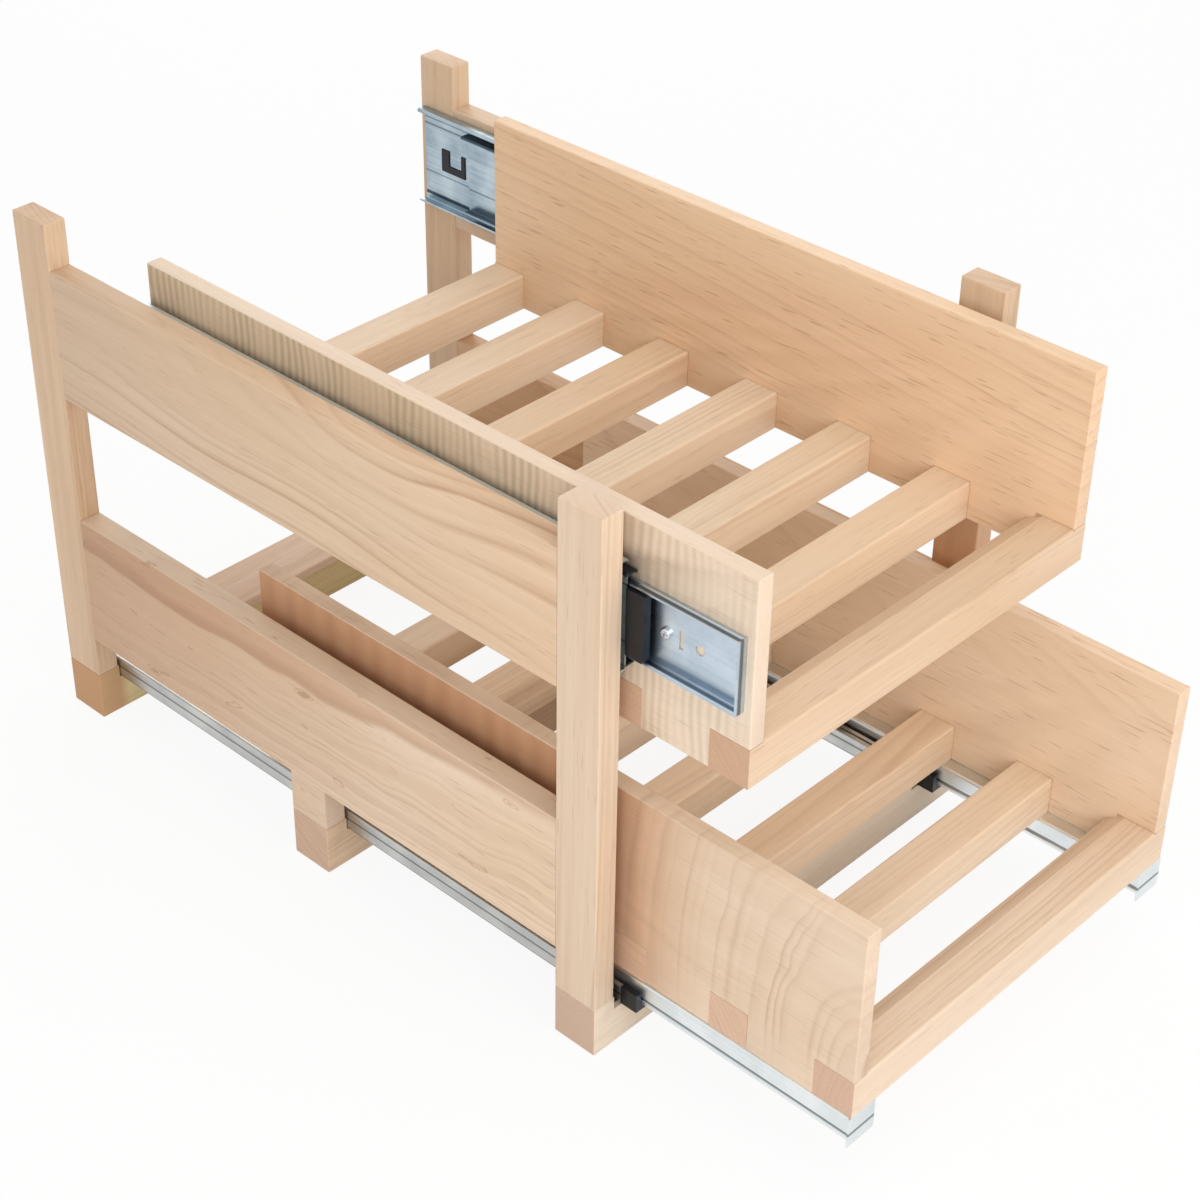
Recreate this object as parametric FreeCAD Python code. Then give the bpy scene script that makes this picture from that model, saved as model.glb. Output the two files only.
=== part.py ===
import FreeCAD, Part
import os

os.makedirs("parts", exist_ok=True)
vec = FreeCAD.Vector

# In-cabinet wine rack with two pull-out trays, in millimetres.
# X runs across, Y from front to back and Z up. The origin is on the floor under the middle of the frame.

# Frame of hardwood
frame_width = 402.0
frame_depth = 559.0
frame_height = 420.0
post_depth = 36.0
post_thickness = 18.0
beam_height = 40.0
upper_rail_bottom = 284.0
upper_rail_height = 101.0
lower_rail_bottom = 74.0
lower_rail_height = 107.0
rear_strip_depth = 48.0
rear_strip_thickness = 8.0
rear_strip_end_gap = 1.5
frame_edge_round = 1.0

# Dowels in the frame, and the blind pocket in the right lower rail
dowel_diameter = 8.0
dowel_length = 36.0
dowel_clearance = 0.1
pocket_diameter = 13.0
pocket_depth = 12.0
pocket_from_rear = 65.0
pocket_above_rail_bottom = 29.0

# Holes that fasten the rack to a cabinet floor
floor_hole_diameter = 5.0
floor_hole_countersink = 10.0
floor_hole_spacing = 200.0

# Trays
tray_rear_gap = 16.0
side_thickness = 12.7
side_height = 148.0
side_edge_round = 1.2
slat_count = 7
slat_width = 31.0
slat_height = 29.0
slat_edge_round = 2.0
front_slat_width = 38.0
front_slat_bevel_width = 12.5
front_slat_bevel_drop = 6.5
upper_tray_pull = 91.0
lower_tray_pull = 187.0
upper_tray_drop = 81.0

# Slides: sheet, cage strip and running clearance are shared by all four
sheet = 1.2
bend_radius = 1.8
cage_sheet = 0.6
running_clearance = 0.3
race_lip = 1.5
race_groove_depth = 0.8
race_groove_rim = 0.75
slide_front_gap = 4.0
slide_rear_gap = 5.0
middle_rear_gap = 6.0
slide_travel = 500.0
ball_pitch = 22.0
cage_end = 8.0
bumper_length = 14.0
bumper_tongue = 8.0
catch_length = 26.0
catch_thickness = 2.0
catch_width_share = 0.46
catch_from_rear = 32.0
end_margin = 4.0

# Upper slides stand on edge between rail and tray side
upper_slide_width = 80.0
upper_slide_edge = 16.0
upper_ball = 5.0
upper_outer_lift = 0.2
upper_inner_lift = 0.0
upper_head_room = 0.6
upper_drawer_setback = 6.0
upper_middle_setback = 39.0

# Lower slides lie flat in notches of the beams, under the tray sides
lower_slide_width = 45.0
lower_slide_inset = 1.5
lower_ball = 3.0
lower_outer_lift = 10.1
lower_inner_lift = 5.3
lower_head_room = 9.0
lower_drawer_lift = 3.2
lower_middle_setback = 93.0
lower_seat_depth = 10.5
lower_seat_clearance = 0.3
rear_tab_height = 9.0
rear_tab_width = 8.0

# Screws
screw_diameter = 4.0
screw_head_diameter = 8.0
screw_head_height = 2.4
screw_bite = 10.0
screw_hole_clearance = 0.1
drawer_screw_first = 60.0
drawer_screw_pitch = 150.0
drawer_slot_offset = 10.0
drawer_hole_offset = 26.0
drawer_hole_diameter = 7.0
drawer_slot_length = 13.0
drawer_slot_width = 3.0
cabinet_screw_pitch = 130.0

# Places that follow from the sizes above
left = -frame_width / 2
front = -frame_depth / 2
rear = frame_depth / 2
rail_front = front + post_depth
rail_rear = rear - post_depth
post_middle = left + post_thickness / 2
beam_fronts = [front, -post_depth / 2, rear - post_depth]
upper_slide_height = upper_rail_bottom + upper_slide_edge + upper_slide_width / 2
lower_slide_base = beam_height - lower_seat_depth
lower_slide_middle = left + post_thickness + lower_slide_inset + lower_slide_width / 2
tray_length = frame_depth - tray_rear_gap
slide_front = front + slide_front_gap
slide_rear = rear - slide_rear_gap
screw_radius = screw_diameter / 2
screw_hole_radius = screw_radius + screw_hole_clearance


def block(x0, x1, y0, y1, z0, z1):
    """A box between two opposite corners."""
    return Part.makeBox(x1 - x0, y1 - y0, z1 - z0, vec(x0, y0, z0))


def rod(radius, start, direction, length):
    """A cylinder that starts at a point and runs in a direction."""
    return Part.makeCylinder(radius, length, start, direction)


def mirrored(shape):
    """The same piece on the other side of the rack."""
    return shape.mirror(vec(0, 0, 0), vec(1, 0, 0))


def save(name, shapes):
    """Write one node: one solid, or a group of alike solids."""
    shape = shapes if isinstance(shapes, Part.Shape) else Part.makeCompound(shapes)
    shape.exportStep("parts/" + name + ".step")


def edges_along(solid, axis):
    """The straight edges that run along X, Y or Z."""
    picked = []
    for edge in solid.Edges:
        run = edge.Vertexes[-1].Point - edge.Vertexes[0].Point
        if abs(run.dot(axis)) > 0.999 * run.Length > 0:
            picked.append(edge)
    return picked


def middle_of(edge):
    """The point half way along a straight edge."""
    return (edge.Vertexes[0].Point + edge.Vertexes[-1].Point) * 0.5


ACROSS = vec(1, 0, 0)
ALONG = vec(0, 1, 0)
UP = vec(0, 0, 1)


# Dowels of the frame, as centre and direction

def dowel_places():
    """Centre and direction of each dowel on the left side."""
    places = []
    for start in beam_fronts:
        places.append((vec(post_middle, start + post_depth / 2, beam_height), UP))
    for bottom, height in ((upper_rail_bottom, upper_rail_height), (lower_rail_bottom, lower_rail_height)):
        for share in (0.25, 0.75):
            for y in (rail_front, rail_rear):
                places.append((vec(post_middle, y, bottom + share * height), ALONG))
    return places


def dowel(centre, direction, clearance):
    """One dowel, or with a clearance the hole for it."""
    length = dowel_length + 2 * clearance
    return rod(dowel_diameter / 2 + clearance, centre - direction * (length / 2), direction, length)


dowels = [dowel(centre, direction, 0) for centre, direction in dowel_places()]
dowel_holes = [dowel(centre, direction, dowel_clearance) for centre, direction in dowel_places()]


# Screws, each built pointing down with the underside of its head at the origin

def screw(flush):
    """A wood screw with a cross recess: a flush flat head, or a raised pan head."""
    shank = rod(screw_radius, vec(0, 0, 0), vec(0, 0, -1), screw_bite + sheet)
    head_radius = screw_head_diameter / 2
    if flush:
        head = Part.makeCone(screw_radius, head_radius, sheet, vec(0, 0, -sheet), UP)
        recess_depth = sheet / 2
        top = 0
    else:
        head = rod(head_radius, vec(0, 0, 0), UP, screw_head_height)
        rim = [edge for edge in head.Edges if edge.BoundBox.ZMin > screw_head_height / 2]
        head = head.makeFillet(screw_head_height * 0.6, rim)
        recess_depth = screw_head_height / 2
        top = screw_head_height
    body = head.fuse(shank).removeSplitter()
    arm = head_radius * 0.55
    slit = arm / 4
    body = body.cut(block(-arm, arm, -slit, slit, top - recess_depth, top))
    return body.cut(block(-slit, slit, -arm, arm, top - recess_depth, top))


def screw_hole():
    """The clearance hole and countersink for a flush screw, built like the screw."""
    c = screw_hole_clearance
    hole = rod(screw_hole_radius, vec(0, 0, c), vec(0, 0, -1), screw_bite + sheet + 2 * c)
    sink = Part.makeCone(screw_radius + c, screw_head_diameter / 2 + c, sheet, vec(0, 0, -sheet), UP)
    return hole.fuse(sink)


def plain_hole():
    """The clearance hole for the shank of a pan-head screw."""
    c = screw_hole_clearance
    return rod(screw_hole_radius, vec(0, 0, c), vec(0, 0, -1), screw_bite + sheet + 2 * c)


# Slides, built flat: X across, Y along the travel, Z from the fixed side towards the tray

def rounded_outline(corners):
    """A closed wire through (x, z, radius) corners, with an arc at each corner that has a radius."""
    points = [vec(x, 0, z) for x, z, radius in corners]
    count = len(corners)
    starts = []
    ends = []
    arcs = []
    for i, (x, z, radius) in enumerate(corners):
        corner = points[i]
        back = (points[i - 1] - corner).normalize()
        ahead = (points[(i + 1) % count] - corner).normalize()
        starts.append(corner + back * radius)
        ends.append(corner + ahead * radius)
        arcs.append(corner + (back + ahead) * (radius * (1 - 0.5 ** 0.5)))
    edges = []
    for i, (x, z, radius) in enumerate(corners):
        if radius > 0:
            edges.append(Part.Arc(starts[i], arcs[i], ends[i]).toShape())
        edges.append(Part.makeLine(ends[i], starts[(i + 1) % count]))
    return Part.Wire(edges)


def channel(half, depth, wall, lip, y0, y1, groove=None):
    """A rolled channel: web at Z 0 and two flanges of the given depth.

    The flanges end in lips turned in, or carry a groove outside, given as its height and half width.
    """
    outer = bend_radius
    inner = bend_radius - sheet
    if wall < sheet:
        outer = wall
        inner = 0
    face = half - wall
    side = [(half, 0, outer)]
    if lip > 0:
        tip = face - lip
        side += [(half, depth, outer), (tip, depth, 0),
                 (tip, depth - wall, 0), (face, depth - wall, inner)]
    elif groove:
        height, reach = groove
        inward = race_groove_depth
        spread_out = reach + wall * (2 ** 0.5 - 1)
        side += [(half, height - reach, 0), (half - inward, height - reach + inward, 0),
                 (half - inward, height + reach - inward, 0), (half, height + reach, 0)]
        side += [(half, depth, 0), (face, depth, 0)]
        side += [(face, height + spread_out, 0), (face - inward, height + spread_out - inward, 0),
                 (face - inward, height - spread_out + inward, 0), (face, height - spread_out, 0)]
    else:
        side += [(half, depth, 0), (face, depth, 0)]
    side.append((face, wall, inner))
    corners = side + [(-x, z, radius) for x, z, radius in reversed(side)]
    section = Part.Face(rounded_outline(corners))
    section.translate(vec(0, y0, 0))
    return section.extrude(vec(0, y1 - y0, 0))


class Slide:
    """The pieces of one telescopic ball slide, shut, with the sizes that tie them together."""

    def __init__(self, width, ball, outer_lift, inner_lift, head_room, drawer_lift, drawer_setback,
                 middle_setback):
        c = running_clearance
        self.ball = ball
        self.inner_ball = ball + race_groove_depth
        self.half = width / 2
        gap = ball + 2 * c
        self.middle_half = self.half - sheet - gap
        self.drawer_half = self.middle_half - sheet - gap
        self.outer_cage_foot = sheet + c
        self.middle_foot = self.outer_cage_foot + cage_sheet + c
        self.inner_cage_foot = self.middle_foot + sheet + c
        inner_floor = self.inner_cage_foot + cage_sheet + c
        self.outer_ball_z = self.middle_foot + outer_lift + ball / 2
        self.inner_ball_z = inner_floor + inner_lift + self.inner_ball / 2
        outer_ball_top = self.outer_ball_z + ball / 2
        inner_ball_top = self.inner_ball_z + self.inner_ball / 2
        self.cabinet_rise = outer_ball_top + c + sheet
        self.middle_rise = max(outer_ball_top, inner_ball_top) + c + sheet
        self.thickness = self.middle_rise + head_room
        self.drawer_foot = inner_floor + drawer_lift
        self.drawer_front = front + drawer_setback
        self.drawer_rear = front + tray_length
        self.middle_front = self.drawer_front + middle_setback
        self.middle_rear = slide_rear - middle_rear_gap

    def cabinet_member(self, screw_ys):
        """The fixed channel, with its screw holes and the cut-out for the closing catch."""
        body = channel(self.half, self.cabinet_rise, sheet, race_lip, slide_front, slide_rear)
        for y in screw_ys:
            hole = screw_hole()
            hole.translate(vec(0, y, sheet))
            body = body.cut(hole)
        space = self.catch_space(running_clearance)
        return body.cut(space.cut(self.catch_tongue(0)))

    def catch_space(self, clearance):
        """The room in the web that the catch fills."""
        reach = self.half * catch_width_share / 2 + clearance
        y = slide_rear - catch_from_rear
        reach_y = catch_length / 2 + clearance
        return block(-reach, reach, y - reach_y, y + reach_y, -clearance, catch_thickness)

    def catch_tongue(self, clearance):
        """The strip of the web that is left standing in that room and holds the catch."""
        reach = self.half * catch_width_share / 2
        y = slide_rear - catch_from_rear
        return block(-reach - 2 * running_clearance, reach / 3 + clearance, y - catch_length / 3 - clearance,
                     y + catch_length / 6 + clearance, 0, sheet + clearance)

    def catch(self):
        """The black catch that holds the slide shut: a slab with a slot for the tongue."""
        slot = self.catch_tongue(running_clearance)
        slot = slot.fuse(slot.translated(vec(0, 0, catch_thickness - sheet)))
        return self.catch_space(0).cut(slot)

    def middle_member(self):
        """The channel that runs between the fixed member and the tray's member."""
        depth = self.middle_rise - self.middle_foot
        body = channel(self.middle_half, depth, sheet, race_lip, self.middle_front, self.middle_rear)
        body.translate(vec(0, 0, self.middle_foot))
        return body

    def bumper(self, cheeks):
        """The black block on the front end of the middle member, with a tongue that sits in it.

        With cheeks it is as wide as the middle member and leaves room for the tray's member.
        """
        reach = self.drawer_half - sheet - race_groove_depth - 2 * running_clearance
        top = self.thickness - sheet - screw_head_height - running_clearance
        y = self.middle_front
        body = block(-reach, reach, y - bumper_length, y, self.middle_foot, top)
        body = body.makeFillet((top - self.middle_foot) / 5, edges_along(body, UP))
        tongue = block(-reach, reach, y - bumper_length / 2, y + bumper_tongue, self.middle_foot + sheet, top)
        body = body.fuse(tongue)
        if cheeks:
            outside = self.middle_half
            room = self.drawer_half + running_clearance
            floor = self.drawer_foot - running_clearance
            shell = block(-outside, outside, y - bumper_length, y, self.middle_foot, self.middle_rise)
            shell = shell.cut(block(-room, room, y - bumper_length, y, floor, self.middle_rise))
            body = body.fuse(shell)
        return body.removeSplitter()

    def drawer_member(self, screw_ys, screw_x, hole_ys, slot_ys, plate_foot, tab):
        """The channel fixed to the tray, with its end plate, screw holes, round holes and slots."""
        depth = self.thickness - self.drawer_foot
        groove = (self.thickness - self.inner_ball_z, self.inner_ball / 4 + race_groove_rim)
        body = channel(self.drawer_half, depth, sheet, 0, self.drawer_front, self.drawer_rear, groove)
        body.rotate(vec(0, 0, 0), ALONG, 180)
        body.translate(vec(0, 0, self.thickness))
        plate = block(-self.drawer_half, self.drawer_half, self.drawer_front, self.drawer_front + sheet,
                      plate_foot, self.thickness)
        body = body.fuse(plate)
        if tab:
            reach = rear_tab_width / 2
            upright = block(-reach, reach, self.drawer_rear, self.drawer_rear + sheet,
                            self.thickness - sheet, self.thickness + rear_tab_height)
            body = body.fuse(upright)
        body = body.removeSplitter()
        web = self.thickness - 2 * sheet
        for y in screw_ys:
            body = body.cut(rod(screw_hole_radius, vec(screw_x, y, web), UP, 3 * sheet))
        for y in hole_ys:
            body = body.cut(rod(drawer_hole_diameter / 2, vec(0, y, web), UP, 3 * sheet))
        slot = min(drawer_slot_length, self.drawer_half) / 2
        for y in slot_ys:
            body = body.cut(block(-slot, slot, y, y + drawer_slot_width, web, web + 3 * sheet))
        return body

    def cage(self, ball, foot, ball_x, ball_z, y0, y1):
        """A thin channel that spaces the balls of two rows, and its balls."""
        half = ball_x + cage_sheet / 2
        pocket = (ball + running_clearance) / 2
        depth = ball_z + pocket + cage_sheet - foot
        strip = channel(half, depth, cage_sheet, 0, y0, y1)
        strip.translate(vec(0, 0, foot))
        count = int((y1 - y0 - 2 * cage_end) / ball_pitch) + 1
        first = (y0 + y1 - (count - 1) * ball_pitch) / 2
        balls = []
        for i in range(count):
            y = first + i * ball_pitch
            side = vec(-half - cage_sheet, y, ball_z)
            strip = strip.cut(rod(pocket, side, ACROSS, 2 * half + 2 * cage_sheet))
            for x in (-ball_x, ball_x):
                balls.append(Part.makeSphere(ball / 2, vec(x, y, ball_z)))
        window = half - 4 * cage_sheet
        quarter = (y1 - y0) / 4
        for i in range(3):
            y = y0 + (i + 0.6) * quarter
            strip = strip.cut(block(-window, window, y, y + 0.8 * quarter, foot, foot + cage_sheet))
        return [strip] + balls

    def outer_cage(self):
        """The cage between the fixed and the middle member."""
        y0 = slide_front + slide_travel / 4 + end_margin
        y1 = self.middle_rear - slide_travel / 4 - end_margin
        x = self.half - sheet - running_clearance - self.ball / 2
        return self.cage(self.ball, self.outer_cage_foot, x, self.outer_ball_z, y0, y1)

    def inner_cage(self):
        """The cage between the middle member and the tray's member."""
        y0 = self.middle_front + bumper_tongue + slide_travel / 4 + end_margin
        y1 = self.drawer_rear - slide_travel / 4 - end_margin
        x = self.middle_half - sheet - running_clearance - self.inner_ball / 2
        return self.cage(self.inner_ball, self.inner_cage_foot, x, self.inner_ball_z, y0, y1)


upper = Slide(upper_slide_width, upper_ball, upper_outer_lift, upper_inner_lift, upper_head_room,
              0, upper_drawer_setback, upper_middle_setback)
lower = Slide(lower_slide_width, lower_ball, lower_outer_lift, lower_inner_lift, lower_head_room,
              lower_drawer_lift, 0, lower_middle_setback)
board_outside = left + post_thickness + upper.thickness
board_inside = board_outside + side_thickness
board_middle = (board_outside + board_inside) / 2
upper_tray_bottom = upper_slide_height - upper_tray_drop
lower_tray_bottom = lower_slide_base + lower.thickness
slat_pitch = (tray_length - slat_width) / (slat_count - 1)


def place_upper(shape, ratio):
    """Stand a slide's piece on edge on the left rail, moved out with its share of the pull."""
    shape.rotate(vec(0, 0, 0), ALONG, 90)
    shape.translate(vec(left + post_thickness, -ratio * upper_tray_pull, upper_slide_height))
    return shape


def place_lower(shape, ratio):
    """Lay a slide's piece flat on the left ends of the beams, moved out with its share of the pull."""
    shape.translate(vec(lower_slide_middle, -ratio * lower_tray_pull, lower_slide_base))
    return shape


# Where the screws go

def spread(first, last, pitch):
    """Places from the first to the last, as evenly as the pitch allows."""
    count = max(1, round((last - first) / pitch))
    return [first + (last - first) * i / count for i in range(count + 1)]


upper_cabinet_screws = spread(front + post_depth / 2, rear - catch_from_rear - post_depth,
                              cabinet_screw_pitch)
lower_cabinet_screws = [beam_fronts[0] + post_depth / 2, beam_fronts[1] + post_depth / 2,
                        slide_rear - (catch_from_rear - catch_length / 2) / 2]
upper_drawer_screws = spread(upper.drawer_front + drawer_screw_first,
                             upper.drawer_rear - drawer_screw_first / 2, drawer_screw_pitch)
lower_drawer_screws = [front + slat_width / 2 + slat_pitch * (i + 0.5) for i in range(0, slat_count - 1, 2)]
lower_screw_x = board_middle - lower_slide_middle


def placed(shape, x, y, z, turn):
    """A screw or its hole, turned about Y and moved to its place."""
    shape.rotate(vec(0, 0, 0), ALONG, turn)
    shape.translate(vec(x, y, z))
    return shape


def cabinet_screw_set(make):
    """Every flush screw of the left side that goes into the frame, or its holes."""
    rail_face = left + post_thickness + sheet
    shapes = [placed(make(), rail_face, y, upper_slide_height, 90) for y in upper_cabinet_screws]
    base = lower_slide_base + sheet
    return shapes + [placed(make(), lower_slide_middle, y, base, 0) for y in lower_cabinet_screws]


frame_screw_holes = cabinet_screw_set(screw_hole)


def drilled(solid, tools):
    """A solid less those tools that reach it."""
    box = solid.BoundBox
    near = [tool for tool in tools if box.intersect(tool.BoundBox)]
    return solid.cut(Part.makeCompound(near)) if near else solid


# Frame pieces of the left side; the right side mirrors them

def post(y0):
    """An upright that stands on the end of a beam."""
    body = block(left, left + post_thickness, y0, y0 + post_depth, beam_height, frame_height)
    top = [edge for edge in body.Edges if middle_of(edge).z > frame_height - frame_edge_round]
    body = body.makeFillet(frame_edge_round, edges_along(body, UP) + top)
    return drilled(body, dowel_holes + frame_screw_holes)


def rail_blank(bottom, height):
    """A rail board between the posts with eased long edges."""
    body = block(left, left + post_thickness, rail_front, rail_rear, bottom, bottom + height)
    return body.makeFillet(frame_edge_round, edges_along(body, ALONG))


def lower_rail():
    """The lower rail, with the foot that stands on the middle beam."""
    body = rail_blank(lower_rail_bottom, lower_rail_height)
    y0 = beam_fronts[1]
    foot = block(left, left + post_thickness, y0, y0 + post_depth, beam_height,
                 lower_rail_bottom + 2 * frame_edge_round)
    foot = foot.makeFillet(frame_edge_round, edges_along(foot, UP))
    return drilled(body.fuse(foot).removeSplitter(), dowel_holes)


def beam(y0):
    """A cross-member on the floor, notched at both ends for the lower slides."""
    body = block(left, -left, y0, y0 + post_depth, 0, beam_height)
    body = body.makeFillet(frame_edge_round, body.Edges)
    reach = lower_slide_width / 2 + lower_seat_clearance
    notch = block(lower_slide_middle - reach, lower_slide_middle + reach, y0, y0 + post_depth,
                  lower_slide_base, beam_height)
    tools = [notch, mirrored(notch)]
    for tool in dowel_holes + frame_screw_holes:
        tools += [tool, mirrored(tool)]
    return drilled(body, tools)


def floor_hole(x, y0, top):
    """A countersunk screw hole down through a beam."""
    centre = vec(x, y0 + post_depth / 2, 0)
    hole = rod(floor_hole_diameter / 2, centre, UP, top)
    sink_depth = (floor_hole_countersink - floor_hole_diameter) / 2
    sink = Part.makeCone(floor_hole_diameter / 2, floor_hole_countersink / 2, sink_depth,
                         centre + UP * (top - sink_depth), UP)
    return hole.fuse(sink)


def rear_strip():
    """The flat board on the rear beam between the lower slides."""
    x = -(lower_slide_middle + lower_slide_width / 2 + rear_strip_end_gap)
    body = block(-x, x, rear - rear_strip_depth, rear, beam_height, beam_height + rear_strip_thickness)
    body = body.makeFillet(frame_edge_round, edges_along(body, ACROSS))
    for side in (-1, 1):
        centre = vec(side * floor_hole_spacing / 2, rear - post_depth / 2, beam_height)
        body = body.cut(rod(floor_hole_countersink / 2, centre, UP, rear_strip_thickness))
    return body


def cross_members():
    """The three beams, the front and rear ones with holes for floor screws."""
    pieces = [beam(y0) for y0 in beam_fronts]
    for i in (0, 2):
        for side in (-1, 1):
            pieces[i] = pieces[i].cut(floor_hole(side * floor_hole_spacing / 2, beam_fronts[i], beam_height))
    return pieces


def pocket():
    """The blind hole in the inner face of the right lower rail."""
    start = vec(-left - post_thickness, rear - pocket_from_rear, lower_rail_bottom + pocket_above_rail_bottom)
    return rod(pocket_diameter / 2, start, ACROSS, pocket_depth)


# Tray pieces

def tray_side(bottom, pull, holes):
    """A side board on edge, notched along its bottom for the ends of the slats."""
    y0 = front - pull
    body = block(board_outside, board_inside, y0, y0 + tray_length, bottom, bottom + side_height)
    top = [edge for edge in body.Edges if middle_of(edge).z > bottom + side_height - side_edge_round]
    body = body.makeFillet(side_edge_round, edges_along(body, UP) + top)
    notches = []
    for i in range(slat_count):
        y = y0 + i * slat_pitch
        notches.append(block(board_outside, board_inside, y, y + slat_width, bottom, bottom + slat_height))
    return drilled(body.cut(Part.makeCompound(notches)), holes)


def slat(bottom, pull, index):
    """A cross slat with eased upper edges between the sides and square ends in their notches.

    The front one is deeper than its ends and has a bevel along its rear top edge.
    """
    y0 = front - pull + index * slat_pitch
    y1 = y0 + (front_slat_width if index == 0 else slat_width)
    top = bottom + slat_height
    body = block(board_inside, -board_inside, y0, y1, bottom, top)
    eased = [edge for edge in edges_along(body, ACROSS) if middle_of(edge).z > bottom + slat_height / 2]
    if index == 0:
        eased = [edge for edge in eased if middle_of(edge).y < y1 - slat_edge_round]
    body = body.makeFillet(slat_edge_round, eased)
    if index == 0:
        rear_top = vec(board_inside, y1, top)
        low = rear_top - UP * front_slat_bevel_drop
        ahead = rear_top - ALONG * front_slat_bevel_width
        wedge = Part.Face(Part.makePolygon([rear_top, low, ahead, rear_top]))
        body = body.cut(wedge.extrude(ACROSS * (-2 * board_inside)))
    end = block(board_outside, board_inside, y0, y0 + slat_width, bottom, top)
    return body.fuse([end, mirrored(end)]).removeSplitter()


# Build and write the frame
left_pieces = {
    "post_front": post(front),
    "post_rear": post(rear - post_depth),
    "upper_rail": drilled(rail_blank(upper_rail_bottom, upper_rail_height), dowel_holes + frame_screw_holes),
    "lower_rail": lower_rail(),
}
for name, shape in left_pieces.items():
    save(name + "_left", shape)
    other = mirrored(shape)
    save(name + "_right", other.cut(pocket()) if name == "lower_rail" else other)
for name, shape in zip(("front", "middle", "rear"), cross_members()):
    save("cross_member_" + name, shape)
save("rear_strip", rear_strip())
save("frame_dowels", dowels + [mirrored(shape) for shape in dowels])

cabinet_screws = cabinet_screw_set(lambda: screw(True))
save("cabinet_screws", cabinet_screws + [mirrored(shape) for shape in cabinet_screws])

# Build and write the slides
catches = [place_upper(upper.catch(), 0), place_lower(lower.catch(), 0)]
save("closing_catches", catches + [mirrored(shape) for shape in catches])

hole_places = [y - drawer_hole_offset for y in upper_drawer_screws]
slot_places = [y - drawer_slot_offset - drawer_slot_width for y in upper_drawer_screws]
upper_drawer = upper.drawer_member(upper_drawer_screws, 0, hole_places, slot_places, upper.drawer_foot, False)
lower_drawer = lower.drawer_member(lower_drawer_screws, lower_screw_x, [], [], lower.outer_cage_foot, True)
slide_pieces = {
    "upper": (upper, place_upper, upper.cabinet_member(upper_cabinet_screws), upper_drawer),
    "lower": (lower, place_lower, lower.cabinet_member(lower_cabinet_screws), lower_drawer),
}
for level, (slide, place, cabinet_member, drawer_member) in slide_pieces.items():
    pieces = {
        "cabinet_member": place(cabinet_member, 0),
        "outer_cage": [place(solid, 0.25) for solid in slide.outer_cage()],
        "middle_member": place(slide.middle_member(), 0.5),
        "bumper": place(slide.bumper(level == "lower"), 0.5),
        "inner_cage": [place(solid, 0.75) for solid in slide.inner_cage()],
        "drawer_member": place(drawer_member, 1),
    }
    for name, shapes in pieces.items():
        save(level + "_left_" + name, shapes)
        twins = [mirrored(solid) for solid in shapes] if isinstance(shapes, list) else mirrored(shapes)
        save(level + "_right_" + name, twins)


def drawer_screw_set(make, level):
    """The left pan-head screws that hold a tray to its slide, or their holes."""
    if level == "upper":
        x = left + post_thickness + upper.thickness - sheet
        return [placed(make(), x, y - upper_tray_pull, upper_slide_height, -90) for y in upper_drawer_screws]
    z = lower_slide_base + lower.thickness - sheet
    return [placed(make(), board_middle, y - lower_tray_pull, z, 180) for y in lower_drawer_screws]


# Build and write the trays
for level, bottom, pull in (("upper", upper_tray_bottom, upper_tray_pull),
                            ("lower", lower_tray_bottom, lower_tray_pull)):
    side = tray_side(bottom, pull, drawer_screw_set(plain_hole, level))
    save(level + "_tray_side_left", side)
    save(level + "_tray_side_right", mirrored(side))
    for index in range(slat_count):
        save(level + "_slat_" + str(index + 1), slat(bottom, pull, index))
    screws = drawer_screw_set(lambda: screw(False), level)
    save(level + "_drawer_screws", screws + [mirrored(shape) for shape in screws])
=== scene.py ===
import math
from functools import cached_property

import bpy
from mathutils import Matrix, Vector

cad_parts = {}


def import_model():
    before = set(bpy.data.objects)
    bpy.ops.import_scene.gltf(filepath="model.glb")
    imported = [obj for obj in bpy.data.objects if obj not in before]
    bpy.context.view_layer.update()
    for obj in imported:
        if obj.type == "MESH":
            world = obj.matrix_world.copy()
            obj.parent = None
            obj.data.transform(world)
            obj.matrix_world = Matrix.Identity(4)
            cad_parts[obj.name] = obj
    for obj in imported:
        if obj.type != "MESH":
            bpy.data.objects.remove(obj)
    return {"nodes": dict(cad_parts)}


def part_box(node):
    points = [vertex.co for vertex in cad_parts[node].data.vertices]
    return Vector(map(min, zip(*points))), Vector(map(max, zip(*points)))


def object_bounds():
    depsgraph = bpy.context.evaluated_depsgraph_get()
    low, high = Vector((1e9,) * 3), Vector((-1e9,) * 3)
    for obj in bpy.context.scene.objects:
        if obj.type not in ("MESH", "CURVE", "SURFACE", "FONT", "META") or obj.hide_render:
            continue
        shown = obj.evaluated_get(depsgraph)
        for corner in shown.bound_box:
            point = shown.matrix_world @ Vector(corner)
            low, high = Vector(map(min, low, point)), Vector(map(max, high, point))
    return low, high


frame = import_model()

cad_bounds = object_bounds()
nodes = frame["nodes"]

# Camera: place, aim and sight in metres, roll in degrees, lens and sensor in millimetres
CAMERA_PLACE = Vector((-1.072, -1.0885, 1.191))
CAMERA_AIM = Vector((-0.0099, -0.1007, 0.1839))
CAMERA_ROLL = 0.93
CAMERA_LENS = 75.5
CAMERA_SENSOR = 36
CAMERA_SIGHT = 50

# Edges: lengths in metres, angles in degrees
EDGE_ROUND = 0.0007
ROUND_SEGMENTS = 2
ROUND_ANGLE = 50
SHARP_ANGLE = 32
WELD_REACH = 0.00001
FLAT_ANGLE = 0.5

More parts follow.
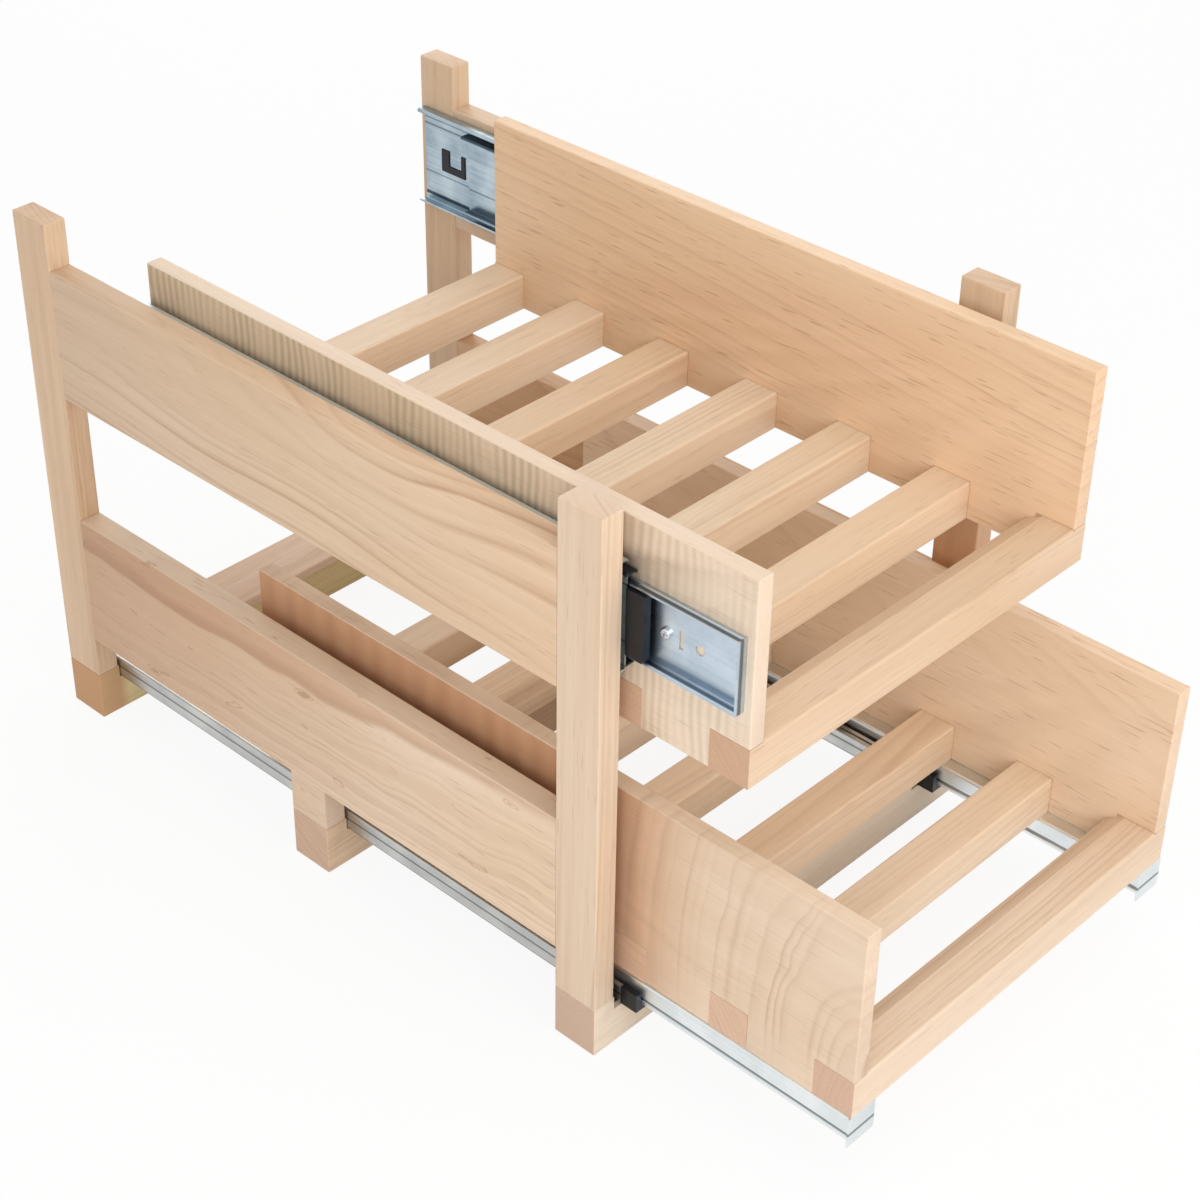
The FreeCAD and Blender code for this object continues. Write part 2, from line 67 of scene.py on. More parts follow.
# Studio: lengths in metres
WHITE = (1, 1, 1, 1)
WORLD_TINT = (1.0, 0.985, 0.965, 1)
WORLD_STRENGTH = 0.60
FLOOR_TONE = (0.92, 0.92, 0.92, 1)
FLOOR_SIZE = 30.0
FLOOR_GAP = 0.0004
FLOOR_GLOW = 0.9

# Each lamp's place and size in metres, power in watts, and tint
LAMPS = {
    "key": ((-0.1, -2.3, 1.3), 1.3, 16.3, (1.0, 0.985, 0.98)),
    "fill": ((-2.0, -1.7, 1.2), 1.5, 24, (0.98, 0.99, 1.0)),
    "top": ((0.3, -0.4, 2.6), 2.0, 12.5, (1.0, 0.99, 0.985)),
    "back": ((1.9, 1.9, 1.3), 1.6, 14, (1.0, 0.99, 0.98)),
}


def rgb(red, green, blue):
    """A colour given as the picture shows it, 0 to 255, made linear."""
    levels = []
    for value in (red, green, blue):
        share = value / 255
        levels.append(share / 12.92 if share <= 0.04045 else ((share + 0.055) / 1.055) ** 2.4)
    return (*levels, 1.0)


def scaled(tone, shares):
    """A tone with its red, green and blue multiplied."""
    return [level * share for level, share in zip(tone, shares)] + [1.0]


# Tones of the wood, as the photographed boards look in even light
IVORY = rgb(238, 222, 204)
MILK = rgb(236, 213, 187)
WHEAT = rgb(233, 206, 177)
LIGHT = rgb(238, 210, 182)
PALE = rgb(234, 213, 192)
CREAM = rgb(228, 204, 180)
TAN = rgb(222, 193, 164)
AMBER = rgb(216, 174, 134)
GOLD = rgb(239, 206, 173)
ROSY = rgb(223, 194, 170)
STRAW = rgb(226, 208, 160)

# Other tones of a board, as shares of its own red, green and blue
SHADES = {
    "bright": (1.035, 1.065, 1.07),
    "dull": (0.975, 0.955, 0.905),
    "line": (0.66, 0.54, 0.45),
    "fleck": (0.42, 0.30, 0.22),
    "mark": (0.50, 0.33, 0.23),
    "painted_shade": (0.93, 0.86, 0.80),
    "rim": (0.66, 0.54, 0.46),
    "end_line": (0.66, 0.52, 0.46),
    "end_pore": (0.56, 0.42, 0.36),
}

# Noise in the wood: turns per metre across and along the grain, detail, and roughness where it isn't 0.5
LAYERS = {
    "sway": (5.0, 2.6, 1.5),
    "patch": (16.0, 3.0, 1.0),
    "cloud": (11.0, 3.5, 2.0),
    "fibre": (640.0, 11.0, 3.0, 0.6),
    "streak": (95.0, 2.6, 2.5),
    "fleck": (700.0, 48.0, 0.0),
    "knot": (75.0, 24.0, 1.5),
    "shake": (16.0, 20.0, 1.0),
    "ribbon": (10.0, 42.0, 1.0),
    "pore": (1300.0, 1300.0, 1.0),
}

# How a value from 0 to 1 turns into a strength: pairs of a value and the strength there
RAMPS = {
    "late_wood": ((0.0, 0.0), (0.30, 0.04), (0.60, 0.42), (0.80, 1.0), (0.90, 0.6), (1.0, 0.0)),
    "line_weight": ((0.34, 0.15), (0.66, 1.0)),
    "patch": ((0.32, 0.15), (0.62, 1.0)),
    "cloud": ((0.33, 0.0), (0.67, 1.0)),
    "fibre": ((0.40, 0.0), (0.75, 1.0)),
    "streak": ((0.30, 0.0), (0.72, 1.0)),
    "fleck": ((0.71, 0.0), (0.80, 1.0)),
    "knot_loop": ((0.690, 0.0), (0.700, 0.7), (0.712, 0.7), (0.725, 0.0)),
    "knot_spot": ((0.735, 0.0), (0.765, 1.0)),
    "ribbon": ((0.32, 0.2), (0.60, 1.0)),
    "pore": ((0.45, 0.0), (0.72, 1.0)),
    "side_face": ((0.80, 0.0), (0.95, 1.0)),
    "end_face": ((0.55, 0.0), (0.8, 1.0)),
    "heart": ((0.955, 1.0), (1.0, 0.0)),
    "heart_rim": ((0.88, 0.0), (0.965, 1.0), (0.985, 1.0), (1.0, 0.0)),
    "heart_fade": ((0.22, 0.25), (0.62, 1.0)),
    "even": ((0.0, 0.0), (1.0, 1.0)),
    "zinc_cloud": ((0.36, 0.0), (0.68, 1.0)),
    "groove": ((0.35, 1.0), (1.0, 0.0)),
    "steel_mark": ((0.35, 0.0), (0.7, 1.0)),
}

# Each board's seed times one of these moves a noise to a place of its own
SEED_ALONG = 1.7
SEED_SPACING = 13.0
SEED_WEIGHT = 7.0

# Uneven spacing and strength of the growth rings: turns of noise per ring, and the most rings it adds
SPACING_TURNS = 0.45
SPACING_RINGS = 2.0
WEIGHT_TURNS = 3.7

# Strengths that are the same for every board
FIBRE_STRENGTH = 0.16
HEART_STRENGTH = 0.75
RIM_STRENGTH = 0.55
END_LINE_STRENGTH = 0.55
END_PORE_STRENGTH = 0.25
FIBRE_RELIEF = 0.6
LINE_RELIEF = 0.3

# How far the curl's ribbons wander, and what brings the places of the heart's fade above 0, in metres
RIBBON_WANDER = 0.011
FADE_SHIFT = 0.5

# The cut of a plain board. Lengths and places are in metres, and strengths go from 0 to 1. The pith is the
# middle of the log that the board was sawn from
PLAIN_CUT = {
    "lean": (0.0, 0.0),  # how far the pith drifts, for each metre along the grain
    "ring": 0.006,  # width of a growth ring
    "lines": 0.5,  # strength of the growth lines
    "sway": 0.016,  # how far the lines wander
    "ripple": (0.0022, 30.0, 9.0),  # a finer wander, and its turns per metre across and along the grain
    "stretch": (1.0, 1.0, 0.0),  # weights of the two ways across the grain and the way along it in a ring
    "eye": 0.0,  # where along the grain the rings of a stretched board close
    "streaks": 0.14,  # strength of the long streaks
    "flecks": 0.20,  # strength of the short pores
    "marks": 0.0,  # strength of the small knots
    "end": 0.2,  # strength of the end grain
    "end_tone": (0.86, 0.74, 0.70),  # tone of the end grain, as shares of the board's
    "painted_shade": None,  # painted shade: where a darker tone begins and is full along the board, and that tone
    "heart": None,  # radius and tone of darker heartwood
    "curl": None,  # ribbons: pitch, weak and strong strength, place of each, tone, and if on both faces
}

# How each board is cut. The pith's two places are along the axes that the grain doesn't follow, in order
CUTS = {
    "upper_rail_left": {
        "tone": TAN, "grain": "Y", "pith": (-0.150, 0.455), "lean": (0.05, 0.07), "ring": 0.0105,
        "lines": 0.95, "sway": 0.085,
    },
    "upper_rail_right": {"tone": TAN, "grain": "Y", "pith": (0.29, 0.28), "lean": (0.05, 0.04)},
    "lower_rail_left": {
        "tone": CREAM, "grain": "Y", "pith": (-0.19, 0.290), "lean": (0.04, -0.03), "ring": 0.0085,
        "sway": 0.05, "ripple": (0.013, 22.0, 16.0), "flecks": 0.3, "marks": 0.6,
        # painted shade: the outer face darker towards the rear
        "painted_shade": (-0.10, 0.24, rgb(212, 174, 140)), "heart": (0.130, rgb(198, 152, 118)),
    },
    "lower_rail_right": {"tone": AMBER, "grain": "Y", "pith": (0.26, 0.16), "lean": (-0.08, 0.02)},
    "post_front_left": {
        "tone": CREAM, "grain": "Z", "pith": (-0.02, -0.36), "lean": (0.02, 0.01), "ring": 0.005,
        "lines": 0.45,
    },
    "post_front_right": {
        "tone": TAN, "grain": "Z", "pith": (0.02, -0.33), "lean": (0.02, 0.02),
        # painted shade: darker low down, under the upper tray
        "painted_shade": (0.34, 0.20, rgb(206, 158, 120)),
    },
    "post_rear_left": {
        "tone": TAN, "grain": "Z", "pith": (-0.05, 0.20), "lean": (0.02, 0.03), "ring": 0.004,
        "lines": 0.6, "streaks": 0.3,
    },
    "post_rear_right": {"tone": TAN, "grain": "Z", "pith": (0.07, 0.31), "lean": (0.02, 0.01)},
    "cross_member_front": {
        "tone": IVORY, "grain": "X", "pith": (-0.34, -0.05), "lean": (0.02, 0.01), "end": 1.0,
        "end_tone": (0.72, 0.60, 0.53),
    },
    "cross_member_middle": {
        "tone": TAN, "grain": "X", "pith": (-0.06, 0.12), "lean": (0.01, 0.02), "end": 1.0,
        "end_tone": (0.88, 0.84, 0.86),
    },
    "cross_member_rear": {
        "tone": STRAW, "grain": "X", "pith": (0.33, 0.09), "lean": (0.02, -0.02), "end": 1.0,
        # painted shade: darker close to both ends, by the posts
        "end_tone": (0.74, 0.48, 0.42), "painted_shade": (0.175, 0.183, rgb(205, 168, 130)),
    },
    "rear_strip": {"tone": ROSY, "grain": "X", "pith": (0.27, 0.20), "lean": (0.02, 0.02)},
    "upper_tray_side_left": {
        "tone": PALE, "grain": "Y", "pith": (-0.30, 0.30), "lean": (0.02, 0.02), "lines": 0.12,
        # painted shade: the outer face darker towards the rear, behind the rail
        "streaks": 0.08, "painted_shade": (-0.30, -0.05, rgb(218, 198, 172)),
        "curl": (0.0066, 0.28, 0.62, -0.36, -0.12, rgb(164, 148, 118), True),
    },
    "upper_tray_side_right": {
        "tone": GOLD, "grain": "Y", "pith": (0.20, 0.20), "lean": (0.06, 0.10), "ring": 0.0075,
        "lines": 0.55, "sway": 0.04, "streaks": 0.08, "flecks": 0.4,
    },
    "lower_tray_side_left": {
        "tone": CREAM, "grain": "Y", "pith": (-0.16, 0.085), "ring": 0.0048, "lines": 0.75, "sway": 0.05,
        "ripple": (0.050, 26.0, 34.0), "stretch": (0.3, 0.24, 0.46), "eye": -0.474,
        # painted shade: the outer face brown towards the rear, behind the rail and under the upper tray
        "painted_shade": (-0.345, -0.250, rgb(208, 162, 126)),
        "curl": (0.022, 0.0, 0.4, -0.32, -0.24, rgb(178, 126, 92), False),
    },
    "lower_tray_side_right": {
        "tone": LIGHT, "grain": "Y", "pith": (0.24, 0.16), "lean": (-0.12, 0.10), "ring": 0.007,
        "lines": 0.35, "flecks": 0.4,
    },
}

# The slats come from different sticks. From one to the next the pith goes this far round the slat, in
# radians, at three distances in turn, in metres, and it leans by up to these shares
SLATS_PER_TRAY = 7
SLAT_TURN = 2.4
LOWER_TRAY_TURN = 0.9
PITH_DISTANCES = (0.07, 0.09, 0.11)
SLAT_LEAN = (0.015, 0.02)

DOWEL_CUT = {"tone": TAN, "grain": "Z", "pith": (0.1, 0.1)}
DOWEL_SEED = 90

# Zinc finishes: tone, tone of the cloudy patches, roughness, and the grooves where painted shade lies as
# dark lines.
# A groove has an axis, its distance from the middle and half width along it in metres, and a strength
ZINCS = {
    "bright": (rgb(208, 221, 232), rgb(180, 196, 210), 0.30, [("X", 0.1753, 0.0022, 0.75)]),
    "pale": (rgb(238, 242, 242), rgb(216, 223, 225), 0.32, [("Z", 0.0415, 0.0018, 0.75)]),
    "grey": (
        rgb(206, 206, 201), rgb(182, 184, 183), 0.36,
        [("Z", 0.0395, 0.0012, 0.7), ("Z", 0.0305, 0.0014, 0.6)],
    ),
    "rolled": (
        rgb(190, 204, 212), rgb(140, 160, 174), 0.30,
        [("Z", 0.3730, 0.0022, 0.9), ("Z", 0.3665, 0.0012, 0.6), ("Z", 0.3260, 0.0010, 0.5),
         ("Z", 0.3070, 0.0022, 0.9)],
    ),
    # painted light: a brighter copy of the rolled zinc, without its dark lines, for one member
    "light": (rgb(224, 232, 234), rgb(192, 205, 209), 0.44, []),
}

# How much rougher the cloudy patches are, the drawn lines' share in them, and what stands up in the bump
ZINC_ROUGHNESS_RISE = 0.22
DRAWN_SHARE = 0.35
DRAWN_RELIEF = 0.3
SPANGLE_RELIEF = 0.25

BALL_TONE = rgb(214, 216, 218)
SCREW_TONE = rgb(222, 226, 230)
BLACK = (0.006, 0.007, 0.009, 1.0)

# Other tones on metal and plastic, as shares of red, green and blue
# Painted shade in the zinc's grooves
GROOVE_SHADE = (0.10, 0.12, 0.14)
STEEL_MARK = (0.78, 0.78, 0.78)
SMUDGE = (2.0, 2.0, 2.0)

# Noise in metal and plastic, in turns per metre. The zinc's drawn lines have their own along X, Y and Z
DRAWN_TURNS = (500.0, 4.0, 500.0)
ZINC_CLOUD_TURNS = 38.0
SPANGLE_TURNS = 900.0
STEEL_MARK_TURNS = 1200.0
PLASTIC_TURNS = 1600.0
SMUDGE_TURNS = 60.0


class Graph:
    """The shader nodes of a material, or of the world, added one at a time."""

    def __init__(self, owner):
        owner.use_nodes = True
        self.owner = owner
        self.tree = owner.node_tree
        self.tree.nodes.clear()

    def add(self, kind, **settings):
        node = self.tree.nodes.new("ShaderNode" + kind)
        for name, value in settings.items():
            setattr(node, name, value)
        return node

    def feed(self, socket, value):
        """Link a socket, or set its value."""
        if isinstance(value, bpy.types.NodeSocket):
            self.tree.links.new(value, socket)
        else:
            socket.default_value = value

    def math(self, operation, a, b=0.0):
        node = self.add("Math", operation=operation)
        self.feed(node.inputs[0], a)
        self.feed(node.inputs[1], b)
        return node.outputs[0]

    def plus(self, a, b):
        return self.math("ADD", a, b)

    def minus(self, a, b):
        return self.math("SUBTRACT", a, b)

    def times(self, a, b):
        return self.math("MULTIPLY", a, b)

    def over(self, a, b):
        return self.math("DIVIDE", a, b)

    def size_of(self, value):
        return self.math("ABSOLUTE", value)

    def larger(self, a, b):
        return self.math("MAXIMUM", a, b)

    def centred(self, noise):
        """A noise as much below 0 as above it."""
        return self.minus(noise, 0.5)

    def raised(self, value, low, rise):
        """A number that is low where the value is 0, and higher by the rise where it is 1."""
        return self.plus(self.times(value, rise), low)

    def join(self, x, y, z):
        node = self.add("CombineXYZ")
        for socket, value in zip(node.inputs, (x, y, z)):
            self.feed(socket, value)
        return node.outputs[0]

    def split(self, vector):
        node = self.add("SeparateXYZ")
        self.feed(node.inputs[0], vector)
        return list(node.outputs)

    def noise(self, vector, scale=1.0, detail=2.0, roughness=0.5):
        node = self.add("TexNoise")
        self.feed(node.inputs["Vector"], vector)
        node.inputs["Scale"].default_value = scale
        node.inputs["Detail"].default_value = detail
        node.inputs["Roughness"].default_value = roughness
        return node.outputs["Fac"]

    def line_noise(self, value, scale):
        """Noise along one number, the same across everything else."""
        node = self.add("TexNoise", noise_dimensions="1D")
        self.feed(node.inputs["W"], value)
        node.inputs["Scale"].default_value = scale
        node.inputs["Detail"].default_value = 1.0
        return node.outputs["Fac"]

    def ramp(self, value, stops, blend="LINEAR"):
        """Grey levels at values between 0 and 1."""
        node = self.add("ValToRGB")
        self.feed(node.inputs["Fac"], value)
        node.color_ramp.interpolation = blend
        elements = node.color_ramp.elements
        for element, (place, level) in zip(elements, (stops[0], stops[-1])):
            element.position = place
            element.color = (level, level, level, 1)
        for place, level in stops[1:-1]:
            elements.new(place).color = (level, level, level, 1)
        return node.outputs["Color"]

    def mix(self, factor, a, b):
        """The colour a, and b where the factor is 1."""
        node = self.add("Mix", data_type="RGBA")
        self.feed(node.inputs["Factor"], factor)
        self.feed(node.inputs["A"], a)
        self.feed(node.inputs["B"], b)
        return node.outputs["Result"]

    def blend(self, factor, a, b):
        """The shader a, and b where the factor is 1."""
        node = self.add("MixShader")
        for socket, value in zip(node.inputs, (factor, a, b)):
            self.feed(socket, value)
        return node.outputs[0]

    def bump(self, height, strength, distance):
        node = self.add("Bump")
        node.inputs["Strength"].default_value = strength
        node.inputs["Distance"].default_value = distance
        self.feed(node.inputs["Height"], height)
        return node.outputs["Normal"]

    def seen(self):
        """1 for what the camera, a reflection or glass shows, and 0 for light on other things."""
        path = self.add("LightPath")
        mirrored = self.larger(path.outputs["Is Glossy Ray"], path.outputs["Is Transmission Ray"])
        return self.larger(path.outputs["Is Camera Ray"], mirrored)

    def show(self, shader, output="OutputMaterial"):
        """Link a shader to the output."""
        self.feed(self.add(output).inputs["Surface"], shader)

    def finish(self, **inputs):
        """Show the usual surface shader, with its inputs by name, and give back the material."""
        shader = self.add("BsdfPrincipled")
        for name, value in inputs.items():
            self.feed(shader.inputs[name.replace("_", " ")], value)
        self.show(shader.outputs["BSDF"])
        return self.owner


class Board(Graph):
    """The shader nodes of one board, which know its grain and how it was cut from the log."""

    def __init__(self, name, cut, seed):
        super().__init__(bpy.data.materials.new(name))
        self.cut = {**PLAIN_CUT, **cut}
        self.seed = seed
        coords = self.add("TexCoord")
        places = self.split(coords.outputs["Object"])
        facing = self.split(coords.outputs["Normal"])
        grain = "XYZ".index(self.cut["grain"])
        self.along = places.pop(grain)
        self.across = places
        self.facing_end = facing.pop(grain)
        self.facing_side = facing[0]
        self.moved_along = self.plus(self.along, seed * SEED_ALONG)

    @cached_property
    def both_faces(self):
        """1 on the two faces across the first axis that the grain doesn't follow."""
        return self.ramp(self.size_of(self.facing_side), RAMPS["side_face"])

    @cached_property
    def outer_face(self):
        """1 on the one of these two faces that looks to the axis's negative side."""
        return self.ramp(self.times(self.facing_side, -1.0), RAMPS["side_face"])

    def shade(self, name):
        """One of SHADES, made from the board's own tone."""
        return scaled(self.cut["tone"], SHADES[name])

    def squeezed(self, across, along):
        """Coordinates for a noise with so many turns per metre across and along the grain."""
        squeezed_across = [self.times(place, across) for place in self.across]
        return self.join(*squeezed_across, self.times(self.moved_along, along))

    def layer(self, name):
        """One of LAYERS, laid along the board's grain."""
        across, along, *texture = LAYERS[name]
        return self.noise(self.squeezed(across, along), 1.0, *texture)

    def mask(self, name):
        """A noise layer sharpened by the ramp of the same name."""
        return self.ramp(self.layer(name), RAMPS[name])

    def tinted(self, colour, mask, strength, tone):
        """The colour, with a tone brought in where the mask is strong."""
        return self.mix(self.times(mask, strength), colour, tone)

    def from_pith(self):
        """The distance from the pith, a little unsteady as a tree's growth is."""
        wander, across, along = self.cut["ripple"]
        sway = self.times(self.centred(self.layer("sway")), self.cut["sway"])
        ripple = self.centred(self.noise(self.squeezed(across, along), detail=1.0))
        sway = self.plus(sway, self.times(ripple, wander))
        *weights, along_weight = self.cut["stretch"]
        squares = []
        for place, pith, lean, weight in zip(self.across, self.cut["pith"], self.cut["lean"], weights):
            away = self.minus(self.minus(place, pith), self.times(self.along, lean))
            away = self.times(self.plus(away, sway), weight)
            squares.append(self.times(away, away))
        total = self.plus(*squares)
        if along_weight > 0:
            away = self.times(self.minus(self.along, self.cut["eye"]), along_weight)
            total = self.plus(total, self.times(away, away))
        return self.math("SQRT", total)

    def growth_lines(self, radius):
        """Late wood at the end of each year's ring, in rings of uneven width and strength."""
        count = self.over(radius, self.cut["ring"])
        spacing = self.line_noise(self.plus(count, self.seed * SEED_SPACING), SPACING_TURNS)
        count = self.plus(count, self.times(spacing, SPACING_RINGS))
        late = self.ramp(self.math("FRACT", count), RAMPS["late_wood"], "EASE")
        whole = self.math("FLOOR", count)
        weight = self.line_noise(self.plus(whole, self.seed * SEED_WEIGHT), WEIGHT_TURNS)
        lines = self.times(late, self.ramp(weight, RAMPS["line_weight"]))
        return self.times(lines, self.mask("patch"))

    def with_painted_shade(self, colour, cloud):
        """Painted shade: a darker tone further along the board, on a side board's outer face, else round
        both ends.
        """
        start, full, tone = self.cut["painted_shade"]
        side_board = self.cut["grain"] == "Y"
        place = self.along if side_board else self.size_of(self.along)
        # Painted shade grows from nothing at the start to full
        share = self.ramp(self.over(self.minus(place, start), full - start), RAMPS["even"])
        if side_board:
            share = self.times(share, self.outer_face)
        return self.mix(share, colour, self.mix(cloud, tone, scaled(tone, SHADES["painted_shade"])))

    def hearted(self, colour, radius):
        """Heartwood with a brown rim on the outer face, fainter towards the front."""
        reach, tone = self.cut["heart"]
        share = self.over(radius, reach)
        fade = self.ramp(self.plus(self.along, FADE_SHIFT), RAMPS["heart_fade"])
        strength = self.times(self.outer_face, fade)
        inside = self.times(self.ramp(share, RAMPS["heart"]), strength)
        rim = self.times(self.ramp(share, RAMPS["heart_rim"]), strength)
        colour = self.tinted(colour, inside, HEART_STRENGTH, tone)
        return self.tinted(colour, rim, RIM_STRENGTH, scaled(tone, SHADES["rim"]))

    def marked(self, colour):
        """Small knots: brown spots, some with a loop round them."""
        knot = self.layer("knot")
        mark = self.larger(self.ramp(knot, RAMPS["knot_loop"]), self.ramp(knot, RAMPS["knot_spot"]))
        return self.tinted(colour, mark, self.cut["marks"], self.shade("mark"))

    def curled(self, colour):
        """Ribbons across the grain, weak at one place along the board and strong at another."""
        pitch, weak, strong, weak_at, strong_at, tone, on_both = self.cut["curl"]
        place = self.plus(self.along, self.times(self.layer("shake"), RIBBON_WANDER))
        wave = self.math("SINE", self.times(place, 2 * math.pi / pitch))
        wave = self.raised(wave, low=0.5, rise=0.5)
        share = self.over(self.minus(self.along, weak_at), strong_at - weak_at)
        wave = self.times(wave, self.ramp(share, ((0.0, weak), (1.0, strong))))
        wave = self.times(wave, self.mask("ribbon"))
        return self.tinted(colour, wave, self.both_faces if on_both else self.outer_face, tone)

    def ended(self, colour, lines):
        """End grain, where the saw cut across the fibres: darker, with open pores."""
        tone = self.tinted(scaled(self.cut["tone"], self.cut["end_tone"]), lines, END_LINE_STRENGTH,
                           self.shade("end_line"))
        tone = self.tinted(tone, self.mask("pore"), END_PORE_STRENGTH, self.shade("end_pore"))
        end_face = self.ramp(self.size_of(self.facing_end), RAMPS["end_face"])
        return self.tinted(colour, end_face, self.cut["end"], tone)


def wood(name, cut, seed):
    """Maple sawn from a log: growth lines round its pith, fibres along the grain, and end grain.

    cut has the board's tone, grain and pith, and what differs from PLAIN_CUT. No two boards share a seed.
    """
    board = Board(name, cut, seed)
    cut = board.cut
    radius = board.from_pith()
    lines = board.growth_lines(radius)
    fibre = board.layer("fibre")
    cloud = board.mask("cloud")
    colour = board.mix(cloud, board.shade("bright"), board.shade("dull"))
    if cut["painted_shade"]:
        colour = board.with_painted_shade(colour, cloud)
    if cut["heart"]:
        colour = board.hearted(colour, radius)
    colour = board.tinted(colour, lines, cut["lines"], board.shade("line"))
    colour = board.tinted(colour, board.mask("streak"), cut["streaks"], board.shade("line"))
    colour = board.tinted(colour, board.ramp(fibre, RAMPS["fibre"]), FIBRE_STRENGTH, board.shade("line"))
    colour = board.tinted(colour, board.mask("fleck"), cut["flecks"], board.shade("fleck"))
    if cut["marks"] > 0:
        colour = board.marked(colour)
    if cut["curl"]:
        colour = board.curled(colour)
    colour = board.ended(colour, lines)
    relief = board.minus(board.times(fibre, FIBRE_RELIEF), board.times(lines, LINE_RELIEF))
    rough = board.raised(fibre, low=0.42, rise=0.16)
    return board.finish(Base_Color=colour, Roughness=rough, Specular_IOR_Level=0.35,
                        Normal=board.bump(relief, strength=0.12, distance=0.0006))


def zinc(name, tone, shade, roughness, painted_grooves):
    """Bright zinc plate: faint drawn lines along the slide, cloudy patches, and painted shade in the
    grooves.
    """
    g = Graph(bpy.data.materials.new(name))
    places = g.split(g.add("TexCoord").outputs["Object"])
    drawn_at = [g.times(place, turns) for place, turns in zip(places, DRAWN_TURNS)]
    drawn = g.noise(g.join(*drawn_at), detail=2.0)
    cloud = g.noise(g.join(*places), scale=ZINC_CLOUD_TURNS, detail=3.0)
    spangle = g.noise(g.join(*places), scale=SPANGLE_TURNS, detail=1.0)
    mark = g.plus(g.times(drawn, DRAWN_SHARE), g.times(cloud, 1 - DRAWN_SHARE))
    colour = g.mix(g.ramp(mark, RAMPS["zinc_cloud"]), tone, shade)
    # Painted shade: a dark line along each groove
    for axis, middle, half, strength in painted_grooves:
        distance = g.size_of(places["XYZ".index(axis)])
        away = g.over(g.size_of(g.minus(distance, middle)), half)
        groove_shade = g.ramp(away, RAMPS["groove"], "EASE")
        colour = g.mix(g.times(groove_shade, strength), colour, scaled(shade, GROOVE_SHADE))
    relief = g.plus(g.times(drawn, DRAWN_RELIEF), g.times(spangle, SPANGLE_RELIEF))
    rough = g.raised(mark, low=roughness - ZINC_ROUGHNESS_RISE / 2, rise=ZINC_ROUGHNESS_RISE)
    return g.finish(Base_Color=colour, Metallic=1.0, Roughness=rough,
                    Normal=g.bump(relief, strength=0.07, distance=0.0002))


def steel(name, tone, roughness):
    """Bare bright steel with fine marks all over."""
    g = Graph(bpy.data.materials.new(name))
    mark = g.noise(g.add("TexCoord").outputs["Object"], scale=STEEL_MARK_TURNS, detail=2.0)
    colour = g.mix(g.ramp(mark, RAMPS["steel_mark"]), tone, scaled(tone, STEEL_MARK))
    rough = g.raised(mark, low=roughness, rise=0.15)
    return g.finish(Base_Color=colour, Metallic=1.0, Roughness=rough,
                    Normal=g.bump(mark, strength=0.06, distance=0.0001))


def plastic(name, tone):
    """Black moulded plastic with a fine texture and fainter smudges."""
    g = Graph(bpy.data.materials.new(name))
    place = g.add("TexCoord").outputs["Object"]
    texture = g.noise(place, scale=PLASTIC_TURNS, detail=2.0)
    smudge = g.noise(place, scale=SMUDGE_TURNS, detail=1.0)
    colour = g.mix(smudge, tone, scaled(tone, SMUDGE))
    rough = g.raised(texture, low=0.22, rise=0.2)
    return g.finish(Base_Color=colour, Roughness=rough, Specular_IOR_Level=0.3,
                    Normal=g.bump(texture, strength=0.15, distance=0.0002))


def paint(obj, material):
    """Replace all of an object's materials with one."""
    obj.data.materials.clear()
    obj.data.materials.append(material)


def slat_cut(level, index):
    """How a slat is cut. Every third one is darker, and each front slat has a tone of its own."""
    box_low, box_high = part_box(f"{level}_slat_{index}")
    middle = (box_low + box_high) / 2
    lower = level == "lower"
    turn = SLAT_TURN * index + (LOWER_TRAY_TURN if lower else 0.0)
    distance = PITH_DISTANCES[index % len(PITH_DISTANCES)]
    pith = (middle.y + distance * math.cos(turn), middle.z + distance * math.sin(turn))
    lean = (SLAT_LEAN[0] * math.sin(turn), SLAT_LEAN[1] * math.cos(turn))
    tone = WHEAT if index % 3 == (0 if lower else 2) else MILK
    if index == 1:
        tone = CREAM if lower else TAN
    return {"tone": tone, "grain": "X", "pith": pith, "lean": lean, "ring": 0.0045, "lines": 0.48,
            "streaks": 0.18, "end": 1.0}


def dress_wood():
    """Give every board, slat, post and beam a material of its own, and the dowels one between them."""
    cuts = dict(CUTS)
    for level in ("upper", "lower"):
        for index in range(1, SLATS_PER_TRAY + 1):
            cuts[f"{level}_slat_{index}"] = slat_cut(level, index)
    for seed, (name, cut) in enumerate(cuts.items(), start=1):
        paint(nodes[name], wood("maple_" + name, cut, seed))
    paint(nodes["frame_dowels"], wood("dowel_beech", DOWEL_CUT, DOWEL_SEED))


def dress_metal():
    """Zinc slides, bright balls and screws, black plastic."""
    zincs = {name: zinc("zinc_" + name, *finish) for name, finish in ZINCS.items()}
    ball = steel("ball_steel", BALL_TONE, roughness=0.14)
    screw = steel("screw_steel", SCREW_TONE, roughness=0.20)
    black = plastic("black_plastic", BLACK)
    for name, obj in nodes.items():
        lower = name.startswith("lower")
        if name.endswith("_drawer_member"):
            paint(obj, zincs["pale" if lower else "bright"])
        # Painted light: this member alone gets the brighter zinc
        elif name == "upper_left_cabinet_member":
            paint(obj, zincs["light"])
        elif name.endswith(("_cabinet_member", "_middle_member")):
            paint(obj, zincs["grey" if lower else "rolled"])
        elif name.endswith("_cage"):
            paint(obj, ball)
        elif name.endswith("_screws"):
            paint(obj, screw)
        elif name.endswith("_bumper") or name == "closing_catches":
            paint(obj, black)


